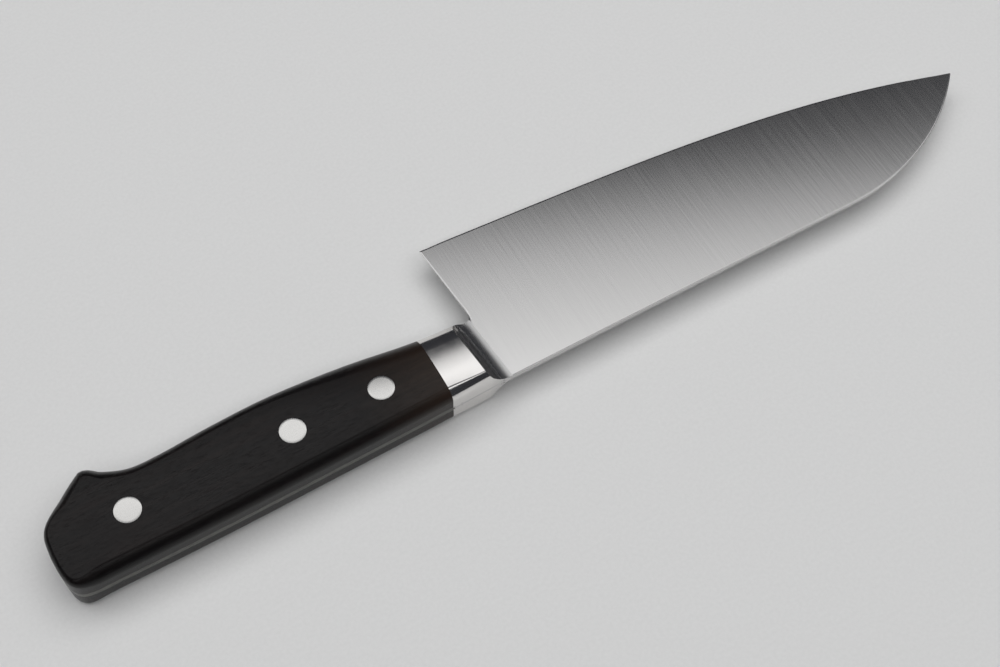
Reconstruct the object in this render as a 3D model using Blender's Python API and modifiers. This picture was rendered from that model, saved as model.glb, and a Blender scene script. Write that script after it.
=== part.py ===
"""Santoku-style chef's knife with a full tang, lying on the right side of its handle.

The knife is drawn on its own axes and then placed in the world by one empty:
x runs from the butt to the tip and is 0 at the front face of the bolster,
y runs from the spine to the cutting edge and is 0 on the spine line,
z leaves the left face of the blade and is 0 in the middle of its thickness.
World Z is up, and the world origin is under the middle of the knife.
"""

import math

import bmesh
import bpy
from mathutils import Vector

# Blade
SPINE_BEND_X = 0.1195  # where the straight spine starts to drop to the tip
SPINE_DROP_RADIUS = 0.0716
TIP_DROP = 0.0235  # the tip's distance from the spine line
HEEL_X = 0.0042
HEEL_HEIGHT = 0.0467
EDGE_SLOPE_DROP = 0.0105  # how far the edge leans towards the spine, heel to tip
EDGE_BELLY_POWER = 3.7  # how late the belly of the edge curls up
CHOIL_X = 0.0062
CHOIL_RADIUS = 0.0025
NECK_HEIGHT = 0.0200
EDGE_STEPS = 40
SPINE_STEPS = 20
CHOIL_STEPS = 6

# Steel
TANG_THICKNESS = 0.0021
GRIND_START_X = 0.0015  # under the fillet of the bolster
HEEL_EDGE_THICKNESS = 0.00044
TIP_EDGE_THICKNESS = 0.00040

# Handle outline, shared by the tang, the bolster and the scales. The finger side runs from the
# bolster over the belly and the hook to the butt, and the spine side runs back under it.
FINGER_SIDE = (
    (0.0060, 0.0199),
    (-0.0110, 0.0209),
    (-0.0310, 0.0236),
    (-0.0520, 0.0249),
    (-0.0700, 0.0246),
    (-0.0840, 0.0238),
    (-0.0925, 0.0240),
    (-0.0988, 0.0264),
    (-0.1017, 0.0286),
    (-0.1037, 0.0293),
    (-0.1057, 0.0287),
    (-0.1118, 0.0243),
    (-0.1168, 0.0195),
    (-0.1189, 0.0156),
    (-0.1194, 0.0100),
)
SPINE_SIDE = (
    (0.0060, 0.0),
    (-0.0110, -0.0005),
    (-0.0400, -0.0010),
    (-0.0780, -0.0014),
    (-0.1060, -0.0012),
    (-0.1140, -0.0010),
    (-0.1175, 0.0006),
    (-0.1190, 0.0044),
    (-0.1194, 0.0100),
)
BUTT_X = FINGER_SIDE[-1][0]
POINTS_PER_SPAN = 4

# Handle section
HANDLE_THICKNESS = 0.0160
SPINE_ROUND_WIDTH = 0.0029
SPINE_ROUND_DEPTH = 0.0038
FRONT_ROUND_WIDTH = 0.0072  # of the finger side, up to the place where it starts to narrow
REAR_ROUND_WIDTH = 0.0035
NARROWING = (-0.0150, -0.0620)  # from where to where the finger side's rounding narrows
BUTT_ROUND = 0.0015
BUTT_SHARES = (0.6, 0.3, 0.12, 0.05)  # places of the last sections, in the rounding of the butt
MAX_ROUND_SHARE = 1 / 3  # the most of a section that one rounding takes
ROUND_STEPS = 5

# Bolster
BOLSTER_LENGTH = 0.0110
FILLET_LENGTH = 0.0058
FILLET_RISE = 0.0200  # vertical half-axis of the fillet's ellipse
FILLET_LEAN = math.radians(5.5)  # the front face leans back towards the finger side
FEATHER = 0.00025  # thickness left where the fillet runs out on the blade
CHEEK_STEP = 0.0016  # spacing of the cheek's sections

# Rivets
RIVETS = (("front", -0.0263, 0.0108), ("middle", -0.0519, 0.0111), ("rear", -0.0976, 0.0118))
HEAD_RADIUS = 0.0036
HEAD_HEIGHT = 0.0018
SLEEVE_RADIUS = 0.0023
SLEEVE_BORE = 0.0016
SLEEVE_END_Z = -0.0052
BORE_END_Z = 0.0050
TURNED_STEPS = 32

# Joints between the pieces
GAP = 0.0003
HALF = HANDLE_THICKNESS / 2
TANG_HALF = TANG_THICKNESS / 2
CHEEK_Z = TANG_HALF + GAP
HOLE_RADIUS = SLEEVE_RADIUS + GAP
SEAT_RADIUS = HEAD_RADIUS + GAP
SEAT_Z = HALF - HEAD_HEIGHT - GAP
PIN_RADIUS = SLEEVE_BORE - GAP
FACE_MARGIN = 0.001  # how far a cutter stands out of what it cuts
BLOCK_MARGIN = 0.010  # the same for the grinding blocks
FILLET_WIDTH = 0.040
FILLET_SEGMENTS = 160
SHARP_ANGLE = math.radians(30)
WELD = 1e-6


def clear_scene():
    for obj in list(bpy.data.objects):
        bpy.data.objects.remove(obj, do_unlink=True)


def new_collection(name):
    collection = bpy.data.collections.new(name)
    bpy.context.scene.collection.children.link(collection)
    return collection


def material(name, colour, metallic, roughness):
    made = bpy.data.materials.new(name)
    made.use_nodes = True
    shader = made.node_tree.nodes["Principled BSDF"]
    shader.inputs["Base Color"].default_value = (*colour, 1.0)
    shader.inputs["Metallic"].default_value = metallic
    shader.inputs["Roughness"].default_value = roughness
    return made


def place(name, mesh, collection, parent, location=(0.0, 0.0, 0.0)):
    obj = bpy.data.objects.new(name, mesh)
    obj.location = location
    obj.parent = parent
    collection.objects.link(obj)
    return obj


def finish_piece(obj, look):
    """One material, with the round parts smooth and the real corners sharp."""
    obj.data.materials.clear()
    obj.data.materials.append(look)
    obj.data.shade_smooth()
    obj.data.set_sharp_from_angle(angle=SHARP_ANGLE)


def mesh_from(shape, name):
    """The mesh of a bmesh, with its faces turned outwards."""
    shape.normal_update()
    bmesh.ops.recalc_face_normals(shape, faces=shape.faces)
    mesh = bpy.data.meshes.new(name)
    shape.to_mesh(mesh)
    shape.free()
    return mesh


def as_cutter(obj):
    obj.hide_render = True
    obj.display_type = "WIRE"


def cut(obj, cutter):
    modifier = obj.modifiers.new("cut_" + cutter.name, "BOOLEAN")
    modifier.operation = "DIFFERENCE"
    modifier.solver = "EXACT"
    modifier.object = cutter


# Outlines


def smooth_through(points, per_span):
    """Points along a Catmull-Rom curve through the given ones."""
    padded = [points[0], *points, points[-1]]
    found = []
    for i in range(len(points) - 1):
        p0, p1, p2, p3 = (Vector(p) for p in padded[i : i + 4])
        for step in range(per_span):
            t = step / per_span
            slope = (p2 - p0) * t
            bend = (2 * p0 - 5 * p1 + 4 * p2 - p3) * t**2
            twist = (3 * p1 - p0 - 3 * p2 + p3) * t**3
            found.append(p1 + (slope + bend + twist) / 2)
    found.append(Vector(points[-1]))
    return found


def side_height(side, x):
    """The y of a handle side at x, where the side runs from large x to small x."""
    for a, b in zip(side, side[1:]):
        if a.x >= x >= b.x:
            return a.y + (b.y - a.y) * (a.x - x) / (a.x - b.x)
    return side[0].y if x > side[0].x else side[-1].y


def tip_point():
    angle = math.acos(1 - TIP_DROP / SPINE_DROP_RADIUS)
    return Vector((SPINE_BEND_X + SPINE_DROP_RADIUS * math.sin(angle), TIP_DROP))


def spine_arc():
    """The drop of the spine, from where it leaves the spine line to the tip."""
    end = math.acos(1 - TIP_DROP / SPINE_DROP_RADIUS)
    for step in range(SPINE_STEPS + 1):
        angle = end * step / SPINE_STEPS
        x = SPINE_BEND_X + SPINE_DROP_RADIUS * math.sin(angle)
        yield Vector((x, SPINE_DROP_RADIUS * (1 - math.cos(angle))))


def cutting_edge():
    """The edge from the tip back to the heel: a slight lean with a belly that curls up late."""
    tip = tip_point()
    belly_drop = HEEL_HEIGHT - TIP_DROP - EDGE_SLOPE_DROP
    for step in range(1, EDGE_STEPS + 1):
        u = 1 - step / EDGE_STEPS
        x = HEEL_X + (tip.x - HEEL_X) * u
        yield Vector((x, HEEL_HEIGHT - EDGE_SLOPE_DROP * u - belly_drop * u**EDGE_BELLY_POWER))


def choil():
    """The round corner between the back of the blade and the neck."""
    centre = Vector((CHOIL_X - CHOIL_RADIUS, NECK_HEIGHT + CHOIL_RADIUS))
    for step in range(CHOIL_STEPS + 1):
        angle = -math.pi / 2 * step / CHOIL_STEPS
        yield centre + CHOIL_RADIUS * Vector((math.cos(angle), math.sin(angle)))


# Blade


def add_loop(curve, points):
    spline = curve.splines.new("POLY")
    spline.points.add(len(points) - 1)
    for target, point in zip(spline.points, points):
        target.co = (point[0], point[1], 0.0, 1.0)
    spline.use_cyclic_u = True


def circle(centre_x, centre_y, radius):
    turns = [2 * math.pi * step / TURNED_STEPS for step in range(TURNED_STEPS)]
    return [(centre_x + radius * math.cos(a), centre_y + radius * math.sin(a)) for a in turns]


def steel_plate(finger, spine, collection, parent):
    """The blade and tang as one flat plate with its rivet holes, before grinding."""
    curve = bpy.data.curves.new("blade_outline", "CURVE")
    curve.dimensions = "2D"
    curve.fill_mode = "BOTH"
    curve.extrude = TANG_HALF
    neck = [p for p in finger if p.x < CHOIL_X - CHOIL_RADIUS - GAP]
    back = [p for p in reversed(spine[:-1]) if p.x < CHOIL_X - CHOIL_RADIUS]
    add_loop(curve, [*back, *spine_arc(), *cutting_edge(), *choil(), *neck])
    for _, x, y in RIVETS:
        add_loop(curve, circle(x, y, HOLE_RADIUS))
    outline = bpy.data.objects.new("blade_outline", curve)
    outline.parent = parent
    collection.objects.link(outline)
    bpy.context.view_layer.update()
    evaluated = outline.evaluated_get(bpy.context.evaluated_depsgraph_get())
    shape = bmesh.new()
    shape.from_mesh(bpy.data.meshes.new_from_object(evaluated))
    bpy.data.objects.remove(outline, do_unlink=True)
    bmesh.ops.remove_doubles(shape, verts=shape.verts, dist=WELD)
    return place("blade", mesh_from(shape, "blade"), collection, parent)


def grind_plane():
    """(slope along y, slope along x) of the left face, which thins to the edge and to the tip."""
    tip = tip_point()
    heel_fall = TANG_HALF - HEEL_EDGE_THICKNESS / 2
    tip_fall = TANG_HALF - TIP_EDGE_THICKNESS / 2
    along_y = heel_fall / HEEL_HEIGHT
    along_x = (tip_fall - along_y * tip.y) / (tip.x - HEEL_X)
    return along_y, along_x


def grinding_block(side, collection, parent):
    """A block whose inner face is the ground face of the blade on one side."""
    along_y, along_x = grind_plane()
    tip = tip_point()
    shape = bmesh.new()
    bmesh.ops.create_cube(shape, size=1.0)
    for vertex in shape.verts:
        x = GRIND_START_X if vertex.co.x < 0 else tip.x + BLOCK_MARGIN
        y = -BLOCK_MARGIN if vertex.co.y < 0 else HEEL_HEIGHT + BLOCK_MARGIN
        surface = TANG_HALF - along_y * y - along_x * (x - HEEL_X)
        vertex.co = (x, y, side * (surface if vertex.co.z < 0 else HALF))
    name = "grind_left" if side > 0 else "grind_right"
    block = place(name, mesh_from(shape, name), collection, parent)
    as_cutter(block)
    return block


def make_blade(finger, spine, parts, cutters, parent):
    blade = steel_plate(finger, spine, parts, parent)
    for side in (1, -1):
        cut(blade, grinding_block(side, cutters, parent))
    finish_piece(blade, material("satin_blade_steel", (0.72, 0.72, 0.71), 1.0, 0.32))


# Handle


def quarter(turn_from, turn_to):
    """Cosine and sine over a quarter turn, both ends included."""
    for step in range(ROUND_STEPS + 1):
        angle = turn_from + (turn_to - turn_from) * step / ROUND_STEPS
        yield math.cos(angle), math.sin(angle)


def finger_round_width(x):
    """How wide the rounding on the finger side is: generous at the bolster, tighter from the middle on."""
    start, end = NARROWING
    share = min(1.0, max(0.0, (x - start) / (end - start)))
    eased = share * share * (3 - 2 * share)
    return FRONT_ROUND_WIDTH + (REAR_ROUND_WIDTH - FRONT_ROUND_WIDTH) * eased


def outer_height(x):
    """The height of the flank above the middle of the tang, which rounds off at the butt."""
    short = BUTT_X + BUTT_ROUND - x
    if short <= 0:
        return HALF
    return HALF - BUTT_ROUND * (1 - math.sqrt(max(0.0, 1 - (short / BUTT_ROUND) ** 2)))


def handle_section(x, finger, spine, side):
    """One side's section at x: up the spine side, across the flat flank, down the finger side."""
    low = side_height(spine, x)
    high = side_height(finger, x)
    top = outer_height(x)
    widest = (high - low) * MAX_ROUND_SHARE
    spine_width = min(SPINE_ROUND_WIDTH, widest)
    finger_width = min(finger_round_width(x), widest)
    section = [(low, CHEEK_Z)]
    for c, s in quarter(math.pi, math.pi / 2):
        y = low + spine_width * (1 + c)
        section.append((y, top - SPINE_ROUND_DEPTH * (1 - s)))
    for c, s in quarter(math.pi / 2, 0.0):
        y = high - finger_width * (1 - c)
        section.append((y, CHEEK_Z + (top - CHEEK_Z) * s))
    return [Vector((x, y, side * z)) for y, z in section]


def loft(name, sections, collection, parent):
    """A closed solid through sections that have the same number of points."""
    shape = bmesh.new()
    rings = [[shape.verts.new(p) for p in section] for section in sections]
    for ring, following in zip(rings, rings[1:]):
        for i in range(len(ring)):
            j = (i + 1) % len(ring)
            shape.faces.new((ring[i], ring[j], following[j], following[i]))
    shape.faces.new(rings[0])
    shape.faces.new(rings[-1])
    return place(name, mesh_from(shape, name), collection, parent)


def make_scale(name, side, finger, spine, seats, look, parts, parent):
    """A handle scale from the bolster to the butt, with a stepped hole for each rivet."""
    front = -BOLSTER_LENGTH - GAP
    butt = [BUTT_X + BUTT_ROUND * share for share in BUTT_SHARES]
    along = [p.x for p in finger if butt[-1] < p.x < front - GAP]
    stations = sorted({round(x, 6) for x in (front, *along, *butt)}, reverse=True)
    sections = [handle_section(x, finger, spine, side) for x in stations]
    scale = loft(name, sections, parts, parent)
    for seat in seats:
        cut(scale, seat)
    finish_piece(scale, look)


def fillet_cutter(side, collection, parent):
    """An elliptical cylinder across the handle that hollows the front of a bolster cheek.

    Its axis lies above the flank, so that the front face meets the flank at a slope. Past the place
    where the fillet runs out its underside is level.
    """
    name = "fillet_left" if side > 0 else "fillet_right"
    shape = bmesh.new()
    bmesh.ops.create_cone(
        shape, cap_ends=True, segments=FILLET_SEGMENTS, radius1=1.0, radius2=1.0, depth=1.0
    )
    foot = CHEEK_Z + FEATHER
    start = 1 - (HALF - foot) / FILLET_RISE
    reach = FILLET_LENGTH / math.sqrt(1 - start**2)
    for vertex in shape.verts:
        along, up, across = vertex.co
        if along > 0 and up < 0:
            up = -1.0
        vertex.co = (along * reach, across * FILLET_WIDTH, side * up * FILLET_RISE)
    axis_place = (FILLET_LENGTH, 0.0, side * (foot + FILLET_RISE))
    cutter = place(name, mesh_from(shape, name), collection, parent, axis_place)
    cutter.rotation_euler = (0.0, 0.0, FILLET_LEAN)
    as_cutter(cutter)
    return cutter


def make_bolster(name, side, finger, spine, look, parts, cutters, parent):
    """A bolster cheek with a concave fillet down to the blade."""
    count = round((BOLSTER_LENGTH + FILLET_LENGTH) / CHEEK_STEP)
    length = BOLSTER_LENGTH + FILLET_LENGTH - GAP
    stations = [-BOLSTER_LENGTH + length * i / count for i in range(count + 1)]
    sections = [handle_section(x, finger, spine, side) for x in stations]
    cheek = loft(name, sections, parts, parent)
    cut(cheek, fillet_cutter(side, cutters, parent))
    finish_piece(cheek, look)


# Rivets


def turned(name, profile, collection, parent, location):
    """A solid turned about z from a profile that runs down its outer side, top to bottom."""
    mesh = bpy.data.meshes.new(name)
    points = [(radius, 0.0, height) for radius, height in profile]
    edges = [(i, i + 1) for i in range(len(points) - 1)]
    mesh.from_pydata(points, edges, [])
    obj = place(name, mesh, collection, parent, location)
    screw = obj.modifiers.new("turn", "SCREW")
    screw.axis = "Z"
    screw.steps = TURNED_STEPS
    screw.render_steps = TURNED_STEPS
    screw.use_merge_vertices = True
    screw.merge_threshold = WELD
    return obj


def rivet_seat(name, x, y, collection, parent):
    """The stepped hole of one rivet through both scales."""
    outside = HALF + FACE_MARGIN
    profile = (
        (0.0, outside),
        (SEAT_RADIUS, outside),
        (SEAT_RADIUS, SEAT_Z),
        (HOLE_RADIUS, SEAT_Z),
        (HOLE_RADIUS, -SEAT_Z),
        (SEAT_RADIUS, -SEAT_Z),
        (SEAT_RADIUS, -outside),
        (0.0, -outside),
    )
    seat = turned(name + "_seat", profile, collection, parent, (x, y, 0.0))
    as_cutter(seat)
    return seat


def make_rivet(name, x, y, look, parts, parent):
    """A cutler's rivet: a sleeve with a head on the left, and a pin driven into it from the right."""
    head_z = HALF - HEAD_HEIGHT
    sleeve = (
        (0.0, HALF),
        (HEAD_RADIUS, HALF),
        (HEAD_RADIUS, head_z),
        (SLEEVE_RADIUS, head_z),
        (SLEEVE_RADIUS, SLEEVE_END_Z),
        (SLEEVE_BORE, SLEEVE_END_Z),
        (SLEEVE_BORE, BORE_END_Z),
        (0.0, BORE_END_Z),
    )
    pin = (
        (0.0, BORE_END_Z - GAP),
        (PIN_RADIUS, BORE_END_Z - GAP),
        (PIN_RADIUS, -head_z),
        (HEAD_RADIUS, -head_z),
        (HEAD_RADIUS, -HALF),
        (0.0, -HALF),
    )
    for kind, profile in (("sleeve", sleeve), ("pin", pin)):
        piece = turned(f"{name}_rivet_{kind}", profile, parts, parent, (x, y, 0.0))
        piece.data.materials.append(look)


def main():
    clear_scene()
    parts = new_collection("chef_knife")
    cutters = new_collection("cutters")
    finger = smooth_through(FINGER_SIDE, POINTS_PER_SPAN)
    spine = smooth_through(SPINE_SIDE, POINTS_PER_SPAN)
    tip = tip_point()

    axes = bpy.data.objects.new("knife_axes", None)
    lowest_y = min(p.y for p in spine)
    axes.location = (-(BUTT_X + tip.x) / 2, -(lowest_y + HEEL_HEIGHT) / 2, HALF)
    parts.objects.link(axes)

    wood = material("dark_wood", (0.022, 0.015, 0.013), 0.0, 0.38)
    polished = material("polished_steel", (0.80, 0.80, 0.79), 1.0, 0.12)
    rivet_steel = material("rivet_steel", (0.83, 0.83, 0.82), 1.0, 0.25)

    make_blade(finger, spine, parts, cutters, axes)
    seats = [rivet_seat(name, x, y, cutters, axes) for name, x, y in RIVETS]
    for name, side in (("left", 1), ("right", -1)):
        make_bolster("bolster_" + name, side, finger, spine, polished, parts, cutters, axes)
        make_scale("scale_" + name, side, finger, spine, seats, wood, parts, axes)
    for name, x, y in RIVETS:
        make_rivet(name, x, y, rivet_steel, parts, axes)


main()
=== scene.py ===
"""Looks of a santoku-style chef's knife with a full tang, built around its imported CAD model.

Shapes are worked out on the knife's own axes, whose place is read from the frame:
x runs from the butt to the tip and is 0 at the front of the bolster,
y runs from the spine to the cutting edge and is 0 on the spine line,
z leaves the left face of the blade and is 0 in the middle of its thickness.
"""

import math

import bmesh
import bpy
import numpy as np
from mathutils import Matrix, Vector
from mathutils.kdtree import KDTree


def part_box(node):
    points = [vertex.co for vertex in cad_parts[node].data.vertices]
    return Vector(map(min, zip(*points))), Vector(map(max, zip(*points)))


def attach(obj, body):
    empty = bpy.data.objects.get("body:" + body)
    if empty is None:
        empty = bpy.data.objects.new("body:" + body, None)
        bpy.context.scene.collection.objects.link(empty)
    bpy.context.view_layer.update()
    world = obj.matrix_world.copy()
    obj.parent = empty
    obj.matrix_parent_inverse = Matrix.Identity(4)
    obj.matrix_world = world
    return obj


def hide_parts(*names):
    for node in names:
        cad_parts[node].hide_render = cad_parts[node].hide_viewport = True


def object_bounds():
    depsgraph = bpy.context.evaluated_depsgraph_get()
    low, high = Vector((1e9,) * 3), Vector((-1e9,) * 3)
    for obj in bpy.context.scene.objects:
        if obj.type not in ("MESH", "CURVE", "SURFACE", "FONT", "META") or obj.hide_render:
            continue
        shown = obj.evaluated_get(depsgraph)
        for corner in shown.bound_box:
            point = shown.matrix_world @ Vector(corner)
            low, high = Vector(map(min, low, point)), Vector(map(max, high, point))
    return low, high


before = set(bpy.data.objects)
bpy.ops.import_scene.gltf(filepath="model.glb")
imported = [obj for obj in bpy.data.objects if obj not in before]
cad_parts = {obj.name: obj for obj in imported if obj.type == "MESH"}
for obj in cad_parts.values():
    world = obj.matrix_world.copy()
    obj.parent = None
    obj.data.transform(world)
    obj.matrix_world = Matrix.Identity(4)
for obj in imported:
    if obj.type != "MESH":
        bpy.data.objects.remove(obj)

# Camera, aimed from the middle of the knife
CAMERA_AIM = Vector((-0.0156, -0.0096, 0.0))
CAMERA_DISTANCE = 0.4355
CAMERA_ELEVATION = math.radians(62)
CAMERA_HEADING = math.radians(31.6)  # from +Y towards +X
CAMERA_ROLL = math.radians(2)
CAMERA_LENS = 57.6
CAMERA_SENSOR = 36.0
CAMERA_CLIP = 0.01

# Lights
SOFTBOX_HEIGHT = 1.0
SOFTBOX_SIZE = (2.6, 1.8)
SOFTBOX_TURN = math.radians(-20)
SOFTBOX_RADIANCE = 1.2
# How strong the softbox is at distances behind the knife: it fades in, peaks, dims and then ends
SOFTBOX_PROFILE = (
    (-0.25, 0.00),
    (0.10, 0.40),
    (0.30, 0.68),
    (0.40, 0.88),
    (0.47, 1.00),
    (0.52, 0.80),
    (0.60, 0.64),
    (0.63, 0.56),
    (0.715, 0.05),
    (0.76, 0.00),
)
FILL_HEIGHT = 1.6  # a second soft light, which only lifts matt surfaces
FILL_SIZE = (2.4, 2.4)
FILL_RADIANCE = 1.22
STRIP_PLACE = (0.0, -0.62, 1.03)  # a narrow soft light on the spine side, for the lines along the arrises
STRIP_SIZE = (2.4, 0.20)
STRIP_RADIANCE = 1.1
SKY_COLOUR = (0.034, 0.035, 0.040)
FLOOR_SIZE = 6.0

# Outline, as read from the frame
LONGEST_PIECE = 0.004  # long straight runs are split to this, so that the curve keeps them straight
OUTLINE_STEP = 0.0003

# Steel
BOLSTER_LENGTH = 0.0110
HEEL_HEIGHT = 0.0467
STEEL_HALF = 0.00105
EDGE_HALF = 0.00012
TIP_HALF = 0.00020
GRIND_START = (-0.0010, 0.0040)  # where the grind fades in, under the fillet of the bolster
RIM_WIDTH = 0.00030  # the broken edge all round the steel
RIM_DEPTH = 0.00010
SHARPENED = 0.0004  # width of the sharpened bevel
EDGE_LAND = 0.00001
SHORT_SECTION = 0.0060  # sections shorter than this narrow their rim and bevel in step
RIM_STEPS = [RIM_WIDTH * share for share in (0.0, 0.25, 0.5, 0.75, 1.0, 1.4)]
BEVEL_SHARES = (1.06, 1.0, 0.5, 0.0)  # places of the last rows, in widths of the sharpened bevel
LOWER_ROWS = 14
UPPER_ROWS = 16
BLADE_COLUMNS = 110
TIP_CROWDING = 1.5
BUTT_RUN = 0.0120  # length at the butt over which the sections crowd together
BUTT_COLUMNS = 16
HANDLE_COLUMNS = 70
NECK_COLUMNS = 24
NECK_CROWDING = 1.8

# Handle section: how wide and deep the rounding is, the turn at which it meets the flank,
# and how far the domed flank has dropped where it would reach the outline
HANDLE_HALF = 0.0080
BOLSTER_ROUND = (0.0019, 0.0028, math.radians(62), 0.0001)  # spine side, at the front of the bolster
SPINE_ROUND = (0.0030, 0.0038, math.radians(62), 0.0004)
BUTT_ROUND = (0.0014, 0.0022, math.radians(70), 0.0003)
FRONT_ROUND = (0.0062, 0.0062, math.radians(84), 0.0015)  # finger side, at the bolster
REAR_ROUND = (0.0034, 0.0058, math.radians(80), 0.0005)
BOLSTER_BLEND = (0.0020, -0.0140)
NARROWING = (-0.0150, -0.0620)
BUTT_BLEND = (-0.1100, -0.1185)
HOOK_END_BLEND = (-0.1110, -0.1190)
FAN_X = -0.1080  # ribs behind this meet in one point
CENTRE_SHARES = (0.28, 0.62)  # how far across the flank is highest, at the bolster and further back
LEAST_SQUARE = 0.3  # the least cosine taken between a rib and the line square to the outline
MOST_ROUND_SHARE = 0.85  # the most of a rib that its rounding takes
WALL_STEPS = 3
ROUND_STEPS = 14
FLANK_STEPS = 9
ARRIS_STEP = 0.02  # share of the flank that its first step takes, so that the arris stays crisp
SIDE_RIBS = 84
FAN_GAP = 0.0002  # between the last of the side ribs and the first that meet in the point

# Bolster fillet, which falls steeply from the flank and runs out on the blade
FILLET_LENGTH = 0.0074
FILLET_POWER = 2.5
FILLET_LEAN = math.radians(5.5)
FILLET_FOOT = STEEL_HALF - 0.00001  # it runs out just under the face of the blade
FACE_STEPS = 12
FILLET_STEPS = 36
FILLET_CROWDING = 1.5
CHEEK_BACK = 0.00040  # height of the cheek's hidden back, inside the tang

# Rivets
RIVETS = ("front", "middle", "rear")
RIVET_GAP = 0.00002
RIVET_PROUD = 0.00002
RIVET_CHAMFER = 0.00010
CHAMFER_BEND = (0.3, 0.25)  # a middle point of the chamfer, in widths from the rim and down
RIVET_CROWN = 0.00002
CROWN_STEPS = 5
HEAD_HEIGHT = 0.0018
SHANK_RADIUS = 0.0023
PIN_RADIUS = 0.0013
SHANK_END = 0.0052
BORE_END = 0.0047
TANG_HOLE_END = 0.003  # beyond the face of the tang
SCALE_HOLE_END = 0.009  # beyond the flank of a scale
TURNED_STEPS = 96

# Looks: where, along the knife, the bolster's polish fades and the wood turns brown with a painted warm
# reflection
POLISH_FADE = (0.0004, 0.0050)
PAINTED_WARM_REFLECTION_FADE = (-0.034, -0.011)
GRAIN_SCALE = 10  # of the UV map, which only gives the grain its direction

WELD = 1e-6
STRAIGHT = math.radians(0.02)
SHARP = math.radians(35)

CAD_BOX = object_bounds()


# Places read from the frame


def knife_origin():
    bolster_low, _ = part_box("bolster_left")
    steel_low, steel_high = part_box("blade")
    middle = (steel_low.z + steel_high.z) / 2
    return Vector((bolster_low.x + BOLSTER_LENGTH, steel_high.y - HEEL_HEIGHT, middle))


ORIGIN = knife_origin()


def outline_at_mid_plane(node):
    """The outer outline of a node where the mid-plane cuts it, from the tip round by the spine."""
    shape = bmesh.new()
    shape.from_mesh(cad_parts[node].data)
    bmesh.ops.remove_doubles(shape, verts=shape.verts, dist=WELD)
    everything = [*shape.verts, *shape.edges, *shape.faces]
    bmesh.ops.bisect_plane(
        shape, geom=everything, plane_co=ORIGIN, plane_no=(0, 0, 1), clear_inner=True, clear_outer=True
    )
    bmesh.ops.remove_doubles(shape, verts=shape.verts, dist=WELD)
    left = dict.fromkeys(shape.verts)
    loops = []
    while left:
        here = next(iter(left))
        loop = []
        while here is not None:
            del left[here]
            loop.append((here.co - ORIGIN).xy)
            others = [edge.other_vert(here) for edge in here.link_edges]
            here = next((vert for vert in others if vert in left), None)
        loops.append(loop)
    shape.free()
    outer = max(loops, key=lambda loop: max(p.x for p in loop))
    tip = max(range(len(outer)), key=lambda i: outer[i].x)
    outer = outer[tip:] + outer[:tip]
    if outer[1].y > outer[-1].y:
        outer = outer[:1] + outer[:0:-1]
    befores = outer[-1:] + outer[:-1]
    afters = outer[1:] + outer[:1]
    return [p for b, p, a in zip(befores, outer, afters) if (p - b).angle(a - p) > STRAIGHT]


def smooth_path(points, step):
    """Points about a step apart on a smooth curve through the given ones, which keeps straight runs."""
    path = [points[0]]
    for a, b in zip(points, points[1:]):
        parts = max(1, math.ceil((b - a).length / LONGEST_PIECE))
        path += [a.lerp(b, i / parts) for i in range(1, parts + 1)]
    lengths = [(b - a).length for a, b in zip(path, path[1:])]
    runs = [(b - a) / d for a, b, d in zip(path, path[1:], lengths)]
    slopes = [runs[0]]
    for i in range(1, len(runs)):
        before, after = lengths[i - 1], lengths[i]
        slopes.append((runs[i - 1] * after + runs[i] * before) / (before + after))
    slopes.append(runs[-1])
    found = []
    for i, length in enumerate(lengths):
        parts = max(1, math.ceil(length / step))
        for k in range(parts):
            t = k / parts
            start_pull = slopes[i] * length * (t**3 - 2 * t**2 + t)
            end_pull = slopes[i + 1] * length * (t**3 - t**2)
            found.append(path[i].lerp(path[i + 1], t * t * (3 - 2 * t)) + start_pull + end_pull)
    return found + [path[-1]]


OUTLINE = outline_at_mid_plane("blade")
TIP = OUTLINE[0]
HEEL = max(OUTLINE, key=lambda p: p.y)
# From the tip by the spine and the butt to the heel, and from there along the edge to the tip
BACK_PATH = smooth_path(OUTLINE[: OUTLINE.index(HEEL) + 1], OUTLINE_STEP)
EDGE_PATH = smooth_path(OUTLINE[OUTLINE.index(HEEL) :] + [TIP], OUTLINE_STEP)
BUTT = min(BACK_PATH, key=lambda p: p.x)
SPINE_PATH = BACK_PATH[: BACK_PATH.index(BUTT) + 1]
FINGER_PATH = BACK_PATH[BACK_PATH.index(BUTT) :]
CHOIL = max(FINGER_PATH, key=lambda p: p.x)  # top of the round corner under the heel


def height_on(path):
    """A function that gives the y of a path at x."""
    ordered = sorted(path, key=lambda p: p.x)
    xs = [p.x for p in ordered]
    ys = [p.y for p in ordered]
    return lambda x: float(np.interp(x, xs, ys))


spine_y = height_on(SPINE_PATH)
finger_y = height_on(FINGER_PATH[: FINGER_PATH.index(CHOIL) + 1])
edge_y = height_on(EDGE_PATH)


def distance_from(path):
    """A function that gives how far a point lies from a path."""
    tree = KDTree(len(path))
    for i, p in enumerate(path):
        tree.insert((p.x, p.y, 0.0), i)
    tree.balance()

    def distance(x, y):
        _, nearest, _ = tree.find((x, y, 0.0))
        here = Vector((x, y))
        found = []
        for i in (nearest - 1, nearest):
            if 0 <= i < len(path) - 1:
                run = path[i + 1] - path[i]
                share = min(1.0, max(0.0, (here - path[i]).dot(run) / run.length_squared))
                found.append((here - path[i] - run * share).length)
        return min(found)

    return distance


rim_distance = distance_from(BACK_PATH)


def ease(share):
    share = min(1.0, max(0.0, share))
    return share * share * (3 - 2 * share)


def between(low, high, x):
    """0 at low, 1 at high and smooth between them."""
    return ease((x - low) / (high - low))


# Pieces


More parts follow.
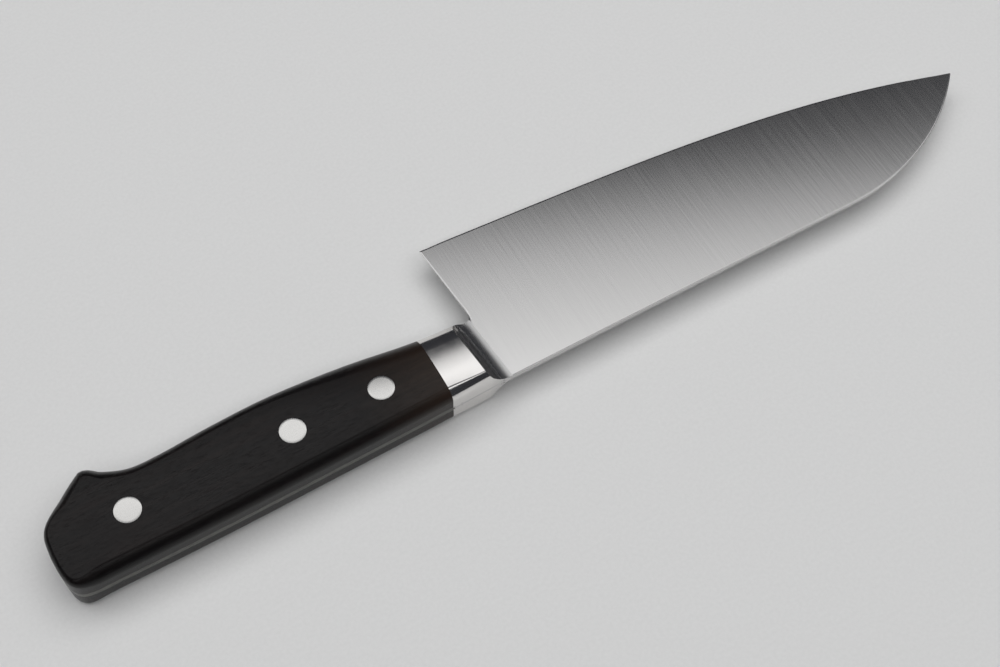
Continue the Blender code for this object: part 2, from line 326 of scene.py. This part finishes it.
def piece(name, shape, looks, node):
    """A bmesh on the knife's axes made into a piece that stands for a node and rides on the knife."""
    shape.normal_update()
    bmesh.ops.recalc_face_normals(shape, faces=shape.faces)
    grain = shape.loops.layers.uv.new("grain")
    for face in shape.faces:
        for corner in face.loops:
            corner[grain].uv = corner.vert.co.xy * GRAIN_SCALE
    mesh = bpy.data.meshes.new(name)
    bmesh.ops.translate(shape, verts=shape.verts, vec=ORIGIN)
    shape.to_mesh(mesh)
    shape.free()
    for look in looks:
        mesh.materials.append(look)
    mesh.shade_smooth()
    mesh.set_sharp_from_angle(angle=SHARP)
    obj = bpy.data.objects.new(name, mesh)
    bpy.context.scene.collection.objects.link(obj)
    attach(obj, "root")
    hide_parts(node)
    return obj


def cut_holes(obj, holes):
    """Cuts the given cylinders (centre, radius, lowest, highest) out of a piece."""
    shape = bmesh.new()
    for centre, radius, low, high in holes:
        made = bmesh.ops.create_cone(
            shape, cap_ends=True, segments=TURNED_STEPS, radius1=radius, radius2=radius, depth=high - low
        )
        middle = Vector((centre.x, centre.y, (low + high) / 2))
        bmesh.ops.translate(shape, verts=made["verts"], vec=middle + ORIGIN)
    mesh = bpy.data.meshes.new("holes")
    shape.to_mesh(mesh)
    shape.free()
    cutter = bpy.data.objects.new("holes", mesh)
    bpy.context.scene.collection.objects.link(cutter)
    modifier = obj.modifiers.new("holes", "BOOLEAN")
    modifier.operation = "DIFFERENCE"
    modifier.solver = "EXACT"
    modifier.object = cutter
    bpy.context.view_layer.update()
    evaluated = obj.evaluated_get(bpy.context.evaluated_depsgraph_get())
    holed = bpy.data.meshes.new_from_object(evaluated)
    obj.modifiers.clear()
    obj.data = holed
    obj.data.shade_smooth()
    obj.data.set_sharp_from_angle(angle=SHARP)
    bpy.data.objects.remove(cutter, do_unlink=True)


def join(shape, a, b):
    """Faces between two rows of vertices, which may share some of them."""
    for i in range(len(a) - 1):
        corners = list(dict.fromkeys((a[i], a[i + 1], b[i + 1], b[i])))
        if len(corners) > 2:
            shape.faces.new(corners)


# Blade


def grind_half(x, y):
    """Half the thickness of the steel: parallel in the tang, a flat wedge in the blade."""
    along = (x - HEEL.x) / (TIP.x - HEEL.x)
    fall_y = (STEEL_HALF - EDGE_HALF) / HEEL.y
    fall_x = STEEL_HALF - TIP_HALF - fall_y * TIP.y
    wedge = STEEL_HALF - fall_y * y - fall_x * along
    return STEEL_HALF + (wedge - STEEL_HALF) * between(*GRIND_START, x)


def rim_drop(x, y):
    """How far the rounding of the rim lowers the face."""
    return RIM_DEPTH * max(0.0, 1 - rim_distance(x, y) / RIM_WIDTH) ** 2


def steel_height(x, y):
    return max(EDGE_LAND, grind_half(x, y) - rim_drop(x, y))


def spaced(low, high, count):
    """Evenly spaced places between two ends, without the ends."""
    return [low + (high - low) * (i + 1) / (count + 1) for i in range(count)]


def blade_rows(low, high):
    """The y of each point of a blade section, from the spine to the edge."""
    scale = min(1.0, (high - low) / SHORT_SECTION)
    neck = low + (high - low) * CHOIL.y / HEEL.y
    rim = [low + step * scale for step in RIM_STEPS]
    bevel = [high - SHARPENED * scale * share for share in BEVEL_SHARES]
    return [*rim, *spaced(rim[-1], neck, LOWER_ROWS), neck, *spaced(neck, bevel[0], UPPER_ROWS), *bevel]


def tang_rows(low, high):
    """The y of each point of a tang section. It has the points of a blade section up to the neck."""
    rim = [low + step for step in RIM_STEPS]
    return [*rim, *spaced(rim[-1], high - RIM_WIDTH, LOWER_ROWS - 1), high - RIM_WIDTH, high]


def blade_columns():
    """x of each section of the blade past the choil, closer together at the choil and the tip."""
    start = [CHOIL.x + step for step in RIM_STEPS[1:]]
    shares = [1 - (1 - share) ** TIP_CROWDING for share in spaced(0, 1, BLADE_COLUMNS)]
    return [*start, *(start[-1] + (TIP.x - start[-1]) * share for share in shares)]


def tang_columns():
    """x of each section of the tang, from the butt to the choil, closer together at both ends."""
    butt = [BUTT.x + BUTT_RUN * (i / BUTT_COLUMNS) ** 2 for i in range(1, BUTT_COLUMNS + 1)]
    neck = [CHOIL.x * (1 - (1 - share) ** NECK_CROWDING) for share in spaced(0, 1, NECK_COLUMNS)]
    return [*butt, *spaced(butt[-1], 0.0, HANDLE_COLUMNS), *neck]


def choil_column():
    """The back of the blade, up the neck and then along the choil to the heel."""
    rows = blade_rows(spine_y(CHOIL.x), HEEL.y)
    back_x = height_on([Vector((p.y, p.x)) for p in FINGER_PATH[FINGER_PATH.index(CHOIL) :]])
    return [(CHOIL.x if y <= CHOIL.y else back_x(y), y) for y in rows]


def steel_sections():
    """Plan views of all sections: the tang's, then the blade's from the choil to just short of the tip."""
    tang = [[(x, y) for y in tang_rows(spine_y(x), finger_y(x))] for x in tang_columns()]
    blade = [choil_column()]
    for x in blade_columns():
        blade.append([(x, y) for y in blade_rows(spine_y(x), edge_y(x))])
    back_x = [x for x, _ in blade[0]]
    for number, section in enumerate(blade[1 : len(RIM_STEPS) + 1], 1):
        blade[number] = [(x - (CHOIL.x - at), y) for (x, y), at in zip(section, back_x)]
    return tang, blade


def make_blade(looks):
    """The blade and tang: two ground faces joined all round by a wall."""
    shape = bmesh.new()
    tang, blade = steel_sections()
    faces = []
    for side in (1, -1):
        grid = []
        for section in tang:
            grid.append([shape.verts.new((x, y, side * steel_height(x, y))) for x, y in section])
        blade_grid = []
        for section in blade:
            line = [shape.verts.new((x, y, side * steel_height(x, y))) for x, y in section[:-1]]
            line.append(shape.verts.new((*section[-1], side * EDGE_LAND)))
            blade_grid.append(line)
        tip = shape.verts.new((TIP.x, TIP.y, side * EDGE_LAND))
        neck = blade_grid[0][: len(grid[0])]
        for a, b in [*zip(grid, [*grid[1:], neck]), *zip(blade_grid, blade_grid[1:])]:
            join(shape, a, b)
        join(shape, blade_grid[-1], [tip] * len(blade_grid[-1]))
        rim = grid[0][::-1] + [line[0] for line in grid[1:]] + [line[0] for line in blade_grid]
        rim += [tip] + [line[-1] for line in reversed(blade_grid)]
        rim += blade_grid[0][len(grid[0]) - 1 : -1][::-1]
        rim += [line[-1] for line in reversed(grid)]
        faces.append(rim)
    join(shape, *faces)
    for face in shape.faces:
        middle = face.calc_center_median()
        face.material_index = 1 if middle.x < -BOLSTER_LENGTH else 0
    return piece("blade_steel", shape, looks, "blade")


# Handle


def mixed(first, second, share):
    return tuple(a + (b - a) * share for a, b in zip(first, second))


def spine_rounding(x):
    ahead = mixed(BOLSTER_ROUND, SPINE_ROUND, between(*BOLSTER_BLEND, x))
    return mixed(ahead, BUTT_ROUND, between(*BUTT_BLEND, x))


def finger_rounding(x):
    ahead = mixed(FRONT_ROUND, REAR_ROUND, between(*NARROWING, x))
    return mixed(ahead, BUTT_ROUND, between(*HOOK_END_BLEND, x))


def centre_at(x):
    """The highest place across the flank at x."""
    x = max(x, FAN_X)
    share = CENTRE_SHARES[0] + (CENTRE_SHARES[1] - CENTRE_SHARES[0]) * between(*NARROWING, x)
    low = spine_y(x)
    return Vector((x, low + (finger_y(x) - low) * share))


def flank_drop(x, y):
    """How much lower the domed flank is at a place than on its centre line."""
    centre = centre_at(x)
    on_spine_side = y < centre.y
    side_y = spine_y(x) if on_spine_side else finger_y(x)
    dome = (spine_rounding(x) if on_spine_side else finger_rounding(x))[-1]
    return dome * ((centre.y - y) / (centre.y - side_y)) ** 2


def rib(start, inward, rounding, kept=1.0):
    """Points from the tang up the wall, over the rounding and across the flank to the centre line.

    A share of the height kept that is below 1 cuts the rib off, as the bolster's fillet does.
    """
    centre = centre_at(start.x)
    reach = (centre - start).length
    heading = (centre - start) / reach
    square = max(LEAST_SQUARE, heading.dot(inward))
    width, depth, turn, dome = rounding
    width = min(width, MOST_ROUND_SHARE * reach * square)

    def flank(share):
        return HANDLE_HALF - dome * (1 - share) ** 2

    def top(share):
        return FILLET_FOOT + (flank(share) - FILLET_FOOT) * kept

    arris_share = width / square / reach
    arris_z = flank(arris_share)
    foot_z = max(STEEL_HALF, arris_z - depth)
    cut_z = top(arris_share)
    points = []
    end_turn = turn
    if kept < 1:
        end_turn = math.asin(max(0.0, (cut_z - foot_z) / (arris_z - foot_z)) * math.sin(turn))
    wall_low = min(STEEL_HALF, cut_z)
    for i in range(WALL_STEPS):
        points.append((0.0, wall_low + (min(foot_z, cut_z) - wall_low) * i / WALL_STEPS))
    last_share = 0.0
    for i in range(ROUND_STEPS + 1):
        angle = end_turn * i / ROUND_STEPS
        share = arris_share * (1 - math.cos(angle)) / (1 - math.cos(turn))
        z = foot_z + (arris_z - foot_z) * math.sin(angle) / math.sin(turn)
        points.append((share, min(z, cut_z)))
        last_share = share
    for step in [ARRIS_STEP, *spaced(ARRIS_STEP, 1.0, FLANK_STEPS), 1.0]:
        share = last_share + (1 - last_share) * step
        points.append((share, top(share)))
    return [(start + heading * reach * share, z) for share, z in points]


def inward_at(path, i):
    """The direction square to a path, towards the inside of the handle."""
    run = path[min(i + 1, len(path) - 1)] - path[max(i - 1, 0)]
    inward = Vector((-run.y, run.x)).normalized()
    return inward if inward.dot(centre_at(path[i].x) - path[i]) > 0 else -inward


def scale_outline(front):
    """Places round the handle from the spine side of the bolster to its finger side."""
    xs = [front, *spaced(front, FAN_X, SIDE_RIBS), FAN_X]
    spine = [Vector((x, spine_y(x))) for x in xs]
    finger = [Vector((x, finger_y(x))) for x in reversed(xs)]
    whole = SPINE_PATH + FINGER_PATH[1:]
    fan = [p for p in whole if p.x < FAN_X - FAN_GAP][::2]
    return spine, fan, finger


def make_scale(name, side, look):
    """A handle scale: ribs from its outline to the centre line, a flat back and a flat front end."""
    spine, fan, finger = scale_outline(-BOLSTER_LENGTH)
    path = spine + fan + finger
    shape = bmesh.new()
    centres = [shape.verts.new((*centre_at(p.x), side * HANDLE_HALF)) for p in spine]
    lines = []
    for i, p in enumerate(path):
        on_spine_side = i < len(spine) + len(fan) / 2
        rounding = spine_rounding(p.x) if on_spine_side else finger_rounding(p.x)
        points = rib(p, inward_at(path, i), rounding)
        line = [shape.verts.new((*xy, side * z)) for xy, z in points[:-1]]
        if i < len(spine):
            line.append(centres[i])
        elif i < len(spine) + len(fan):
            line.append(centres[-1])
        else:
            line.append(centres[len(path) - 1 - i])
        lines.append(line)
    for a, b in zip(lines, lines[1:]):
        join(shape, a, b)
    shape.faces.new([line[0] for line in lines])
    shape.faces.new(lines[0] + lines[-1][-2::-1])
    return piece(name, shape, [look], name.replace("_wood", ""))


def bolster_columns():
    """(place, lean, share of the height kept) of each section: whole at the back, then the fillet."""
    columns = []
    for i in range(FACE_STEPS + 1):
        share = i / FACE_STEPS
        columns.append((-BOLSTER_LENGTH * (1 - share), FILLET_LEAN * share, 1.0))
    for i in range(1, FILLET_STEPS + 1):
        share = (i / FILLET_STEPS) ** FILLET_CROWDING
        columns.append((FILLET_LENGTH * share, FILLET_LEAN, (1 - share) ** FILLET_POWER))
    return columns


def leaning_back(place, lean, y):
    """The x of a section at y, where the section leans back towards the finger side."""
    return place - math.tan(lean) * y


def cheek_section(place, lean, kept):
    """A section of a bolster cheek, from its hidden back up, across and down again."""
    low = spine_y(place)
    high = finger_y(leaning_back(place, lean, finger_y(place)))
    near = rib(Vector((place, low)), Vector((0, 1)), spine_rounding(place), kept)
    far = rib(Vector((place, high)), Vector((0, -1)), finger_rounding(place), kept)
    section = [(near[0][0], CHEEK_BACK), *near, *far[-2::-1], (far[0][0], CHEEK_BACK)]
    return [(leaning_back(place, lean, xy.y), xy.y, z) for xy, z in section]


def make_bolster(name, side, look):
    """A bolster cheek with a concave fillet that runs out on the blade."""
    shape = bmesh.new()
    lines = []
    for column in bolster_columns():
        lines.append([shape.verts.new((x, y, side * z)) for x, y, z in cheek_section(*column)])
    for a, b in zip(lines, lines[1:]):
        join(shape, a, b)
    for line in (lines[0], lines[-1]):
        shape.faces.new(line)
    shape.faces.new([line[0] for line in lines] + [line[-1] for line in reversed(lines)])
    bmesh.ops.remove_doubles(shape, verts=shape.verts, dist=WELD)
    bmesh.ops.dissolve_degenerate(shape, edges=shape.edges, dist=WELD)
    return piece(name, shape, [look], name.replace("_steel", ""))


# Rivets


def rivet_place(name):
    low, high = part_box(name + "_rivet_sleeve")
    middle = (low + high) / 2 - ORIGIN
    return middle.xy, (high.x - low.x) / 2


def turned(profile, centre):
    """A closed turned solid on the knife's axes from (radius, height) points, top to bottom."""
    shape = bmesh.new()
    rings = []
    for radius, z in profile:
        if radius == 0:
            rings.append([shape.verts.new((centre.x, centre.y, z))] * TURNED_STEPS)
            continue
        angles = [2 * math.pi * step / TURNED_STEPS for step in range(TURNED_STEPS)]
        places = [centre + Vector((radius * math.cos(angle), radius * math.sin(angle))) for angle in angles]
        rings.append([shape.verts.new((*place, z)) for place in places])
    for a, b in zip(rings, rings[1:]):
        join(shape, a + a[:1], b + b[:1])
    return shape


def head_profile(radius, side):
    """The face and flank of a rivet head, which lies in the flank of the scale."""
    face = HANDLE_HALF + RIVET_PROUD
    points = [(0.0, face)]
    for share in spaced(0, 1, CROWN_STEPS):
        points.append((share * (radius - RIVET_CHAMFER), face - RIVET_CROWN * share**2))
    rim_z = face - RIVET_CROWN
    across, down = CHAMFER_BEND
    points.append((radius - RIVET_CHAMFER, rim_z))
    points.append((radius - RIVET_CHAMFER * across, rim_z - RIVET_CHAMFER * down))
    points.append((radius, rim_z - RIVET_CHAMFER))
    points.append((radius, HANDLE_HALF - HEAD_HEIGHT))
    return [(r, side * z) for r, z in points]


def make_rivet(name, look):
    """The sleeve, whose head shows on the left, and the pin, whose head shows on the right."""
    centre, radius = rivet_place(name)
    sleeve = head_profile(radius, 1)
    sleeve += [(SHANK_RADIUS, HANDLE_HALF - HEAD_HEIGHT), (SHANK_RADIUS, -SHANK_END)]
    sleeve += [(PIN_RADIUS + RIVET_GAP, -SHANK_END), (PIN_RADIUS + RIVET_GAP, BORE_END), (0.0, BORE_END)]
    pin = head_profile(radius, -1)
    pin += [(PIN_RADIUS, HEAD_HEIGHT - HANDLE_HALF), (PIN_RADIUS, BORE_END - RIVET_GAP)]
    pin += [(0.0, BORE_END - RIVET_GAP)]
    for kind, profile in (("sleeve", sleeve), ("pin", pin)):
        shape = turned(profile, centre)
        for vert in shape.verts:
            if abs(vert.co.z) > HANDLE_HALF - HEAD_HEIGHT / 2:
                vert.co.z -= math.copysign(flank_drop(vert.co.x, vert.co.y), vert.co.z)
        node = f"{name}_rivet_{kind}"
        piece(node + "_steel", shape, [look], node)


# Materials


class Look:
    """A Principled material with the node-making calls that the surfaces share."""

    def __init__(self, name):
        self.material = bpy.data.materials.new(name)
        self.material.use_nodes = True
        self.tree = self.material.node_tree
        self.shader = self.tree.nodes["Principled BSDF"]
        self.place = self.tree.nodes.new("ShaderNodeTexCoord").outputs["Object"]

    def set(self, name, value):
        self.shader.inputs[name].default_value = value

    def join(self, out, socket):
        self.tree.links.new(out, socket)

    def into(self, name, out):
        self.join(out, self.shader.inputs[name])

    def along(self, start, end):
        """0 to 1 between two places along the knife."""
        node = self.tree.nodes.new("ShaderNodeSeparateXYZ")
        self.join(self.place, node.inputs["Vector"])
        return self.spread(node.outputs["X"], ORIGIN.x + start, ORIGIN.x + end, 0, 1)

    def grain(self, x, y, z, detail=3.0, roughness=0.5, seed=(0.0, 0.0, 0.0)):
        """Noise from 0 to 1 whose features are x, y and z metres long."""
        mapping = self.tree.nodes.new("ShaderNodeMapping")
        mapping.inputs["Scale"].default_value = (1 / x, 1 / y, 1 / z)
        mapping.inputs["Location"].default_value = seed
        noise = self.tree.nodes.new("ShaderNodeTexNoise")
        noise.inputs["Scale"].default_value = 1.0
        noise.inputs["Detail"].default_value = detail
        noise.inputs["Roughness"].default_value = roughness
        self.join(self.place, mapping.inputs["Vector"])
        self.join(mapping.outputs["Vector"], noise.inputs["Vector"])
        return noise.outputs["Fac"]

    def spread(self, value, low, high, to_low, to_high):
        """A value between low and high mapped to the other two ends, and held there outside them."""
        node = self.tree.nodes.new("ShaderNodeMapRange")
        node.inputs["From Min"].default_value = low
        node.inputs["From Max"].default_value = high
        node.inputs["To Min"].default_value = to_low
        node.inputs["To Max"].default_value = to_high
        self.join(value, node.inputs["Value"])
        return node.outputs["Result"]

    def colours(self, value, stops):
        """A colour for each value, from (value, colour) stops."""
        node = self.tree.nodes.new("ShaderNodeValToRGB")
        ramp = node.color_ramp
        ramp.elements[0].position, ramp.elements[0].color = stops[0][0], (*stops[0][1], 1.0)
        ramp.elements[1].position, ramp.elements[1].color = stops[-1][0], (*stops[-1][1], 1.0)
        for position, colour in stops[1:-1]:
            ramp.elements.new(position).color = (*colour, 1.0)
        self.join(value, node.inputs["Fac"])
        return node.outputs["Color"]

    def mix(self, share, a, b):
        """Colour a, or colour b where the share is 1. The numbered sockets are the node's colour ones."""
        node = self.tree.nodes.new("ShaderNodeMix")
        node.data_type = "RGBA"
        self.join(share, node.inputs["Factor"])
        self.join(a, node.inputs[6])
        self.join(b, node.inputs[7])
        return node.outputs[2]

    def add(self, a, b, share):
        """a plus a share of b."""
        node = self.tree.nodes.new("ShaderNodeMath")
        node.operation = "MULTIPLY_ADD"
        node.inputs[1].default_value = share
        self.join(b, node.inputs[0])
        self.join(a, node.inputs[2])
        return node.outputs["Value"]

    def bump(self, height, distance, under=None):
        node = self.tree.nodes.new("ShaderNodeBump")
        node.inputs["Distance"].default_value = distance
        self.join(height, node.inputs["Height"])
        if under is not None:
            self.join(under, node.inputs["Normal"])
        return node.outputs["Normal"]

    def tangent(self):
        node = self.tree.nodes.new("ShaderNodeTangent")
        node.direction_type = "UV_MAP"
        node.uv_map = "grain"
        self.into("Tangent", node.outputs["Tangent"])


def ground_steel():
    """Satin steel ground across the blade, so that its fine lines run from the spine to the edge."""
    look = Look("ground_steel")
    look.set("Metallic", 1.0)
    look.set("Anisotropic", 0.6)
    look.tangent()
    wide = look.grain(0.0024, 0.060, 0.060, detail=2)
    fine = look.grain(0.0011, 0.045, 0.045, detail=5, roughness=0.72, seed=(0.3, 0.37, 0.6))
    hair = look.grain(0.00061, 0.019, 0.019, detail=3, roughness=0.7, seed=(0.2, 0.5, 0.5))
    cloud = look.grain(0.030, 0.030, 0.030)
    streaks = look.add(fine, wide, 0.4)
    dull = (0.625, 0.620, 0.615)
    clean = (0.662, 0.656, 0.649)
    tone = look.colours(look.spread(streaks, 0.4, 1.0, 0, 1), [(0, dull), (1, clean)])
    look.into("Base Color", tone)
    rough = look.add(streaks, cloud, 0.5)
    look.into("Roughness", look.spread(rough, 0.6, 1.3, 0.13, 0.16))
    lines = look.bump(look.add(fine, hair, 0.5), 1.0e-5)
    look.into("Normal", lines)
    return look.material


def tang_steel():
    """The tang's narrow edge between the scales, polished along the handle and slightly dulled, and
    coloured nearly black as painted shade.
    """
    look = Look("tang_steel")
    look.set("Metallic", 1.0)
    lines = look.grain(0.012, 0.00015, 0.00015, detail=3)
    stain_and_shade = look.grain(0.004, 0.002, 0.002, detail=4)
    # Painted shade: these near-black colours darken the steel where it would otherwise reflect the pale
    # floor.
    look.into("Base Color", look.colours(stain_and_shade, [(0.3, (0.09, 0.09, 0.082)), (0.7, (0.15, 0.148, 0.136))]))
    look.into("Roughness", look.spread(look.add(lines, stain_and_shade, 0.6), 0.5, 1.1, 0.20, 0.36))
    look.into("Normal", look.bump(lines, 3e-6))
    return look.material


def polished_steel():
    """Bolster steel, polished but for faint lines across it, and duller where the fillet runs out."""
    look = Look("polished_steel")
    look.set("Metallic", 1.0)
    look.set("Anisotropic", 0.4)
    look.tangent()
    lines = look.grain(0.00016, 0.009, 0.009, detail=3)
    smudge = look.grain(0.004, 0.004, 0.004, detail=4, roughness=0.6)
    front = look.along(*POLISH_FADE)
    polish = look.colours(smudge, [(0.3, (0.78, 0.765, 0.75)), (0.7, (0.83, 0.81, 0.79))])
    ground = look.colours(smudge, [(0.3, (0.635, 0.63, 0.625)), (0.7, (0.645, 0.64, 0.635))])
    look.into("Base Color", look.mix(front, polish, ground))
    finish = look.spread(look.add(smudge, lines, 0.5), 0.45, 1.05, 0.13, 0.19)
    look.into("Roughness", look.add(finish, front, 0.14))
    look.into("Normal", look.bump(lines, 1.5e-6))
    return look.material


def rivet_steel():
    """Satin rivet metal with fine polishing lines along the handle and small spots."""
    look = Look("rivet_steel")
    look.set("Metallic", 1.0)
    lines = look.grain(0.004, 0.00012, 0.004, detail=3)
    spots = look.grain(0.0006, 0.0006, 0.0006, detail=3)
    look.into("Base Color", look.colours(spots, [(0.3, (0.79, 0.78, 0.76)), (0.7, (0.84, 0.83, 0.81))]))
    look.into("Roughness", look.spread(look.add(spots, lines, 0.6), 0.5, 1.1, 0.24, 0.30))
    look.into("Normal", look.bump(lines, 1e-6))
    return look.material


def dark_wood():
    """Nearly black hardwood, painted browner near the bolster as a warm reflection, with a close grain and
    a soft polish.
    """
    look = Look("dark_wood")
    look.set("Specular IOR Level", 0.30)
    wave = look.grain(0.060, 0.0022, 0.0030, detail=4, roughness=0.55)
    fibre = look.grain(0.012, 0.00022, 0.00022, detail=3, roughness=0.6)
    pores = look.grain(0.0028, 0.00009, 0.00012, detail=1)
    cloud = look.grain(0.028, 0.010, 0.010, detail=2)
    figure = look.spread(look.add(look.add(wave, fibre, 0.45), cloud, 0.4), 0.62, 1.20, 0, 1)
    dark = [(0, (0.0028, 0.0024, 0.0026)), (0.55, (0.0050, 0.0038, 0.0038)), (1, (0.0100, 0.0066, 0.0060))]
    painted_warm_tones = [(0, (0.0110, 0.0072, 0.0056)), (0.55, (0.0180, 0.0112, 0.0078)), (1, (0.0260, 0.0160, 0.0110))]
    in_pores = look.colours(pores, [(0, (0.0030, 0.0025, 0.0025)), (1, (0.0040, 0.0030, 0.0030))])
    # Painted reflection: the wood turns browner towards the bolster, standing in for a warm reflection.
    front = look.along(*PAINTED_WARM_REFLECTION_FADE)
    bare = look.mix(front, look.colours(figure, dark), look.colours(figure, painted_warm_tones))
    look.into("Base Color", look.mix(look.spread(pores, 0.60, 0.72, 0, 0.7), bare, in_pores))
    look.into("Roughness", look.spread(look.add(fibre, cloud, 0.8), 0.6, 1.2, 0.26, 0.35))
    pits = look.bump(look.spread(pores, 0.58, 0.74, 1, 0), 1.2e-5)
    look.into("Normal", look.bump(fibre, 8e-6, pits))
    return look.material


def pale_floor():
    """Plain pale matt board."""
    look = Look("pale_floor")
    speck = look.grain(0.0010, 0.0010, 0.0010, detail=2)
    look.into("Base Color", look.colours(speck, [(0.3, (0.76, 0.76, 0.755)), (0.7, (0.79, 0.79, 0.785))]))
    look.into("Roughness", look.spread(speck, 0.3, 0.7, 0.62, 0.70))
    look.into("Normal", look.bump(speck, 2e-5))
    return look.material


# Studio


def make_camera():
    """The camera looks down on the knife from its spine side, near the butt."""
    heading = Vector((math.sin(CAMERA_HEADING), math.cos(CAMERA_HEADING), 0.0))
    forward = heading * math.cos(CAMERA_ELEVATION) - Vector((0, 0, math.sin(CAMERA_ELEVATION)))
    right = forward.cross(Vector((0, 0, 1))).normalized()
    above = right.cross(forward)
    rolled = right * math.cos(CAMERA_ROLL) + above * math.sin(CAMERA_ROLL)
    above = rolled.cross(forward)
    turn = Matrix((rolled, above, -forward)).transposed().to_4x4()
    low, high = CAD_BOX
    aim = (low + high) / 2 + CAMERA_AIM
    camera = bpy.data.objects.new("camera", bpy.data.cameras.new("camera"))
    camera.data.lens = CAMERA_LENS
    camera.data.sensor_width = CAMERA_SENSOR
    camera.data.clip_start = CAMERA_CLIP
    camera.matrix_world = Matrix.Translation(aim - forward * CAMERA_DISTANCE) @ turn
    bpy.context.scene.collection.objects.link(camera)
    bpy.context.scene.camera = camera


def area_light(name, place, size, radiance, turn=0.0):
    """A soft rectangular light of a given radiance that faces the knife, or the floor right below it."""
    light = bpy.data.lights.new(name, "AREA")
    light.shape = "RECTANGLE"
    light.size, light.size_y = size
    light.energy = radiance * math.pi * size[0] * size[1]
    obj = bpy.data.objects.new(name, light)
    facing = (-place).to_track_quat("-Z", "Y").to_matrix().to_4x4()
    obj.matrix_world = Matrix.Translation(place) @ Matrix.Rotation(turn, 4, "Z") @ facing
    bpy.context.scene.collection.objects.link(obj)
    return light


def shape_beam(light):
    """Gives a light its strength along the direction across the knife."""
    light.use_nodes = True
    tree = light.node_tree
    place = tree.nodes.new("ShaderNodeNewGeometry")
    behind = tree.nodes.new("ShaderNodeVectorMath")
    behind.operation = "DOT_PRODUCT"
    behind.inputs[1].default_value = (-math.sin(SOFTBOX_TURN), math.cos(SOFTBOX_TURN), 0.0)
    beam = tree.nodes.new("ShaderNodeFloatCurve")
    curve = beam.mapping.curves[0]
    for point, stop in zip(curve.points, (SOFTBOX_PROFILE[0], SOFTBOX_PROFILE[-1])):
        point.location = stop
    for stop in SOFTBOX_PROFILE[1:-1]:
        curve.points.new(*stop)
    for point in curve.points:
        point.handle_type = "VECTOR"
    beam.mapping.extend = "HORIZONTAL"
    beam.mapping.update()
    tree.links.new(place.outputs["Position"], behind.inputs[0])
    tree.links.new(behind.outputs["Value"], beam.inputs["Value"])
    tree.links.new(beam.outputs["Value"], tree.nodes["Emission"].inputs["Strength"])


def make_studio():
    world = bpy.data.worlds.new("studio")
    world.use_nodes = True
    world.node_tree.nodes["Background"].inputs["Color"].default_value = (*SKY_COLOUR, 1.0)
    bpy.context.scene.world = world
    above = Vector((0, 0, SOFTBOX_HEIGHT))
    shape_beam(area_light("softbox", above, SOFTBOX_SIZE, SOFTBOX_RADIANCE, SOFTBOX_TURN))
    area_light("fill", Vector((0, 0, FILL_HEIGHT)), FILL_SIZE, FILL_RADIANCE)
    bpy.data.objects["fill"].visible_glossy = False
    area_light("strip", Vector(STRIP_PLACE), STRIP_SIZE, STRIP_RADIANCE)
    shape = bmesh.new()
    bmesh.ops.create_grid(shape, x_segments=8, y_segments=8, size=FLOOR_SIZE / 2)
    mesh = bpy.data.meshes.new("floor")
    shape.to_mesh(mesh)
    shape.free()
    mesh.materials.append(pale_floor())
    floor = bpy.data.objects.new("floor", mesh)
    bpy.context.scene.collection.objects.link(floor)
    bpy.context.scene.view_settings.view_transform = "Standard"


def main():
    make_camera()
    make_studio()
    rivets = [rivet_place(name) for name in RIVETS]
    blade = make_blade([ground_steel(), tang_steel()])
    cut_holes(blade, [(xy, SHANK_RADIUS + RIVET_GAP, -TANG_HOLE_END, TANG_HOLE_END) for xy, _ in rivets])
    wood = dark_wood()
    polished = polished_steel()
    for name, side in (("left", 1), ("right", -1)):
        make_bolster(f"bolster_{name}_steel", side, polished)
        scale = make_scale(f"scale_{name}_wood", side, wood)
        shanks = [(xy, SHANK_RADIUS + RIVET_GAP, -SCALE_HOLE_END, SCALE_HOLE_END) for xy, _ in rivets]
        low, high = sorted((side * (HANDLE_HALF - HEAD_HEIGHT), side * SCALE_HOLE_END))
        seats = [(xy, radius + RIVET_GAP, low, high) for xy, radius in rivets]
        cut_holes(scale, shanks)
        cut_holes(scale, seats)
    metal = rivet_steel()
    for name in RIVETS:
        make_rivet(name, metal)


main()
